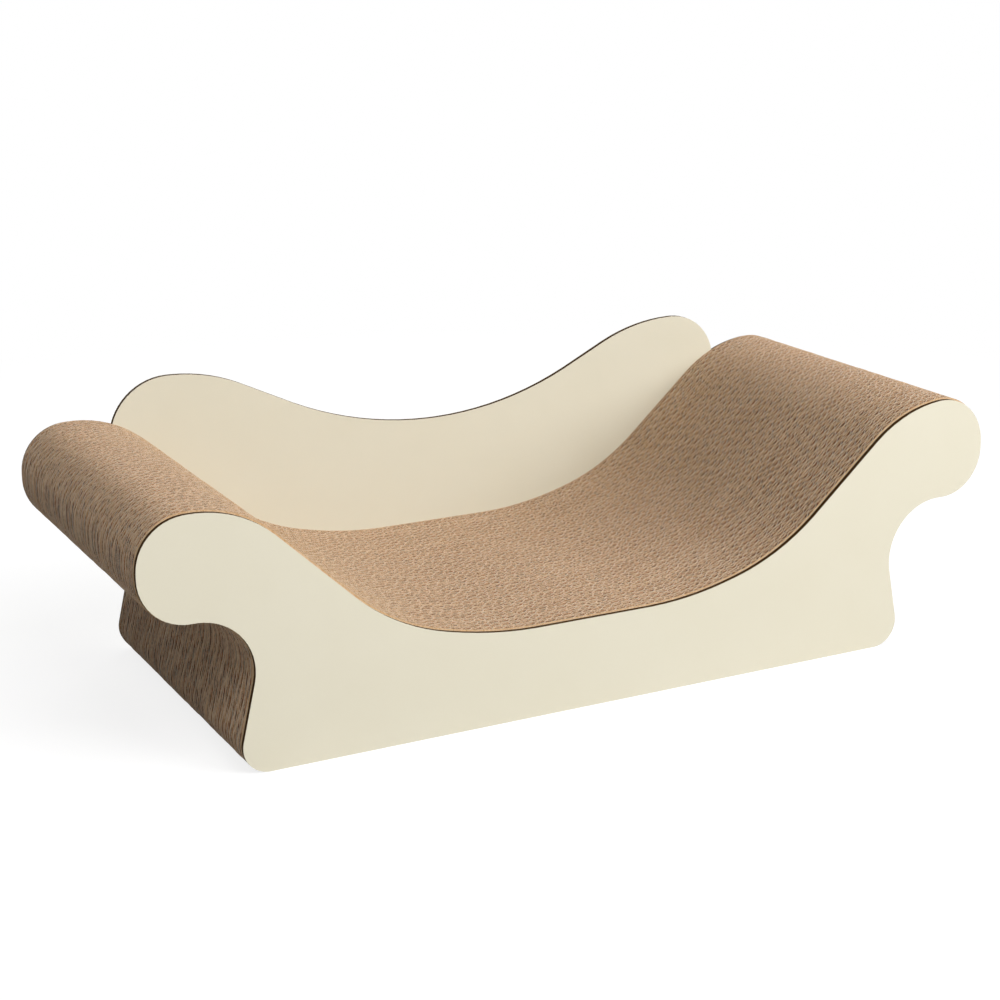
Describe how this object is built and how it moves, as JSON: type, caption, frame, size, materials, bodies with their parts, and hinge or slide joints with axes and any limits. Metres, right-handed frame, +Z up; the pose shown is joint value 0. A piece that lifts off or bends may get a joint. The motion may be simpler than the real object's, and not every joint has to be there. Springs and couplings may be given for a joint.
{
  "type": "cardboard cat scratcher lounge",
  "caption": "Long cardboard scratching lounge with a dipped top, rounded overhanging ends and a raised back panel with two humps.",
  "frame": {"origin": "on the floor under the middle of the length and the width", "axes": "+X along the length to the right as the front shows it, +Y from the front panel to the raised back, +Z up"},
  "size_m": [0.63, 0.25, 0.1992],
  "materials": {
    "corrugated_kraft": "uncoated brown corrugated board, cut edges",
    "panel_board": "dark brown solid board, cut edges",
    "cream_paper": "smooth cream paper, matt to faint sheen"
  },
  "bodies": {
    "root": {"front_facing_outer": "cream_paper", "front_panel": "panel_board", "front_facing_inner": "cream_paper", "core_board_01": "corrugated_kraft", "core_board_02": "corrugated_kraft", "core_board_03": "corrugated_kraft", "core_board_04": "corrugated_kraft", "core_board_05": "corrugated_kraft", "core_board_06": "corrugated_kraft", "core_board_07": "corrugated_kraft", "core_board_08": "corrugated_kraft", "core_board_09": "corrugated_kraft", "core_board_10": "corrugated_kraft", "core_board_11": "corrugated_kraft", "core_board_12": "corrugated_kraft", "core_board_13": "corrugated_kraft", "core_board_14": "corrugated_kraft", "core_board_15": "corrugated_kraft", "core_board_16": "corrugated_kraft", "core_board_17": "corrugated_kraft", "core_board_18": "corrugated_kraft", "core_board_19": "corrugated_kraft", "core_board_20": "corrugated_kraft", "core_board_21": "corrugated_kraft", "core_board_22": "corrugated_kraft", "core_board_23": "corrugated_kraft", "core_board_24": "corrugated_kraft", "core_board_25": "corrugated_kraft", "core_board_26": "corrugated_kraft", "core_board_27": "corrugated_kraft", "core_board_28": "corrugated_kraft", "core_board_29": "corrugated_kraft", "core_board_30": "corrugated_kraft", "core_board_31": "corrugated_kraft", "core_board_32": "corrugated_kraft", "core_board_33": "corrugated_kraft", "core_board_34": "corrugated_kraft", "core_board_35": "corrugated_kraft", "core_board_36": "corrugated_kraft", "core_board_37": "corrugated_kraft", "core_board_38": "corrugated_kraft", "core_board_39": "corrugated_kraft", "core_board_40": "corrugated_kraft", "rear_facing_inner": "cream_paper", "rear_panel": "panel_board", "rear_facing_outer": "cream_paper"}
  },
  "joints": []
}
